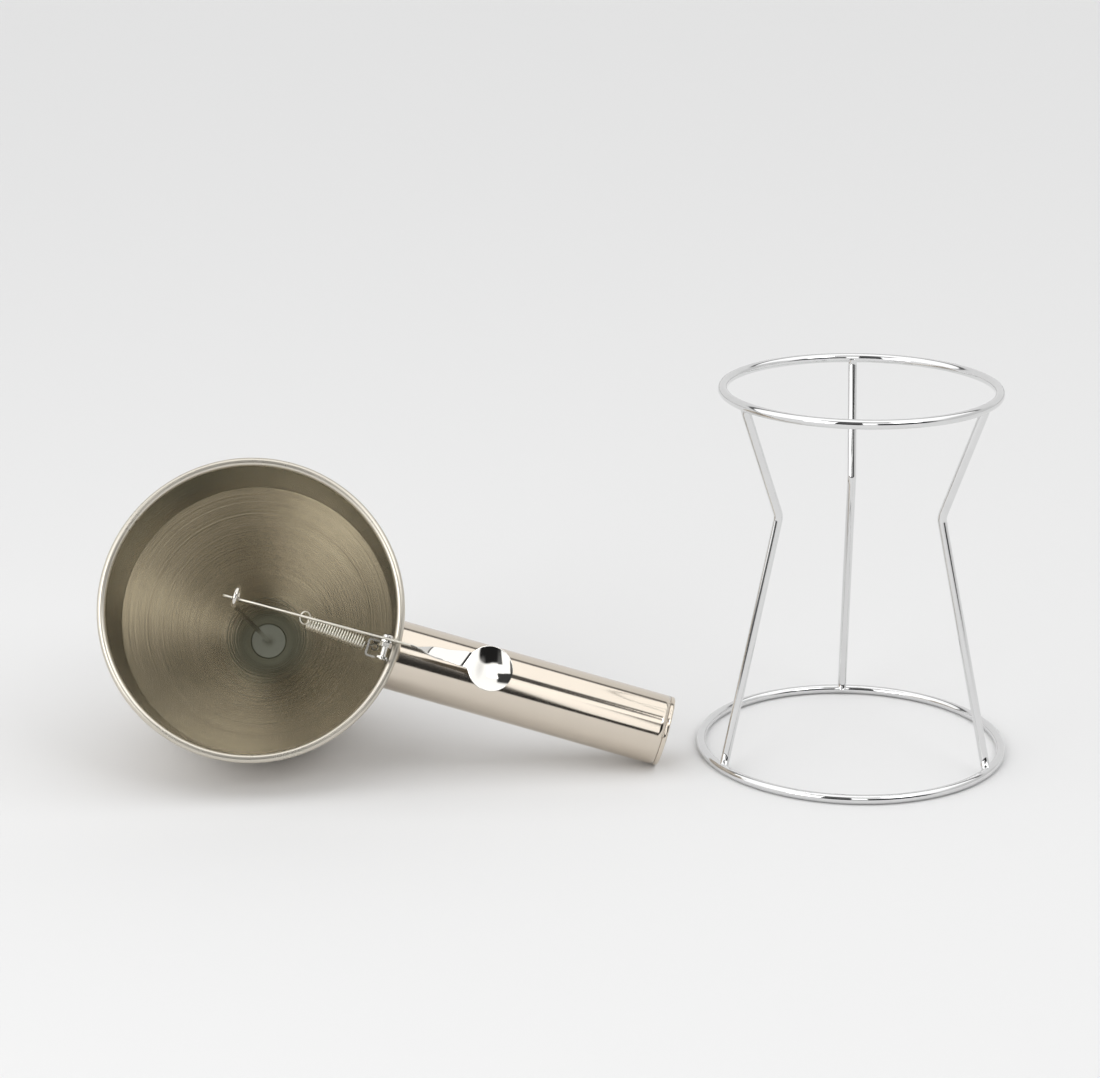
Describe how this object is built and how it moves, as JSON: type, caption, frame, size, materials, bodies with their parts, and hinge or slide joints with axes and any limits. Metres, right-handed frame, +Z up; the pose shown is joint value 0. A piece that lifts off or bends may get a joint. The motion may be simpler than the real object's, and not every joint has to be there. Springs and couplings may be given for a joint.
{
  "type": "fondant funnel",
  "caption": "Steel confectioner's funnel with a tube handle, thumb lever and sprung stopper, lying beside its waisted wire stand.",
  "frame": {"origin": "middle of the whole set's footprint on the table (funnel lying down, stand beside it)", "axes": "+Z up, +X from the funnel towards the stand, -Y towards the viewer"},
  "size_m": [0.452, 0.2248, 0.1897],
  "materials": {
    "bowl_steel": "spun stainless steel, fine concentric lines",
    "handle_steel": "polished stainless steel tube",
    "bracket_steel": "bent stainless sheet",
    "fastener_steel": "stainless screw, washer and nut",
    "lever_steel": "polished stainless strip",
    "spring_steel": "spring wire",
    "rod_steel": "drawn stainless wire",
    "stopper_grey": "greenish grey moulded plug",
    "stand_chrome": "bright plated wire"
  },
  "bodies": {
    "funnel": {"funnel_bowl": "bowl_steel", "spout": "bowl_steel", "handle_tube": "handle_steel", "handle_weld": "handle_steel", "handle_cap": "handle_steel", "pivot_bracket": "bracket_steel", "pivot_screw": "fastener_steel", "pivot_washer": "fastener_steel", "pivot_nut": "fastener_steel", "return_spring": "spring_steel"},
    "lever": {"lever": "lever_steel"},
    "plunger": {"plunger_rod": "rod_steel", "stopper": "stopper_grey"},
    "stand": {"stand_top_ring": "stand_chrome", "stand_bottom_ring": "stand_chrome", "stand_leg_back": "stand_chrome", "stand_leg_left": "stand_chrome", "stand_leg_right": "stand_chrome"}
  },
  "joints": [
    {"name": "lever_pivot", "type": "hinge", "parent": "funnel", "child": "lever", "pos_m": [-0.08452, -0.07832, 0.07473], "axis": [0.2735, 0.4139, 0.8682], "range_deg": [0, 18], "stiffness_Nm_per_rad": 0.25, "springref_deg": -20.05, "deforming": ["return_spring"]},
    {"name": "plunger_lift", "type": "slide", "parent": "funnel", "child": "plunger", "axis": [0.0603, -0.9083, 0.414], "range_m": [0, 0.02446]},
    {"name": "stand_slide", "type": "slide", "parent": "funnel", "child": "stand", "axis": [1, 0, 0], "range_m": [0, 0.1]}
  ],
  "couplings": [
    {"joint": "plunger_lift", "follows": "lever_pivot", "m_per_rad": 0.077841}
  ]
}
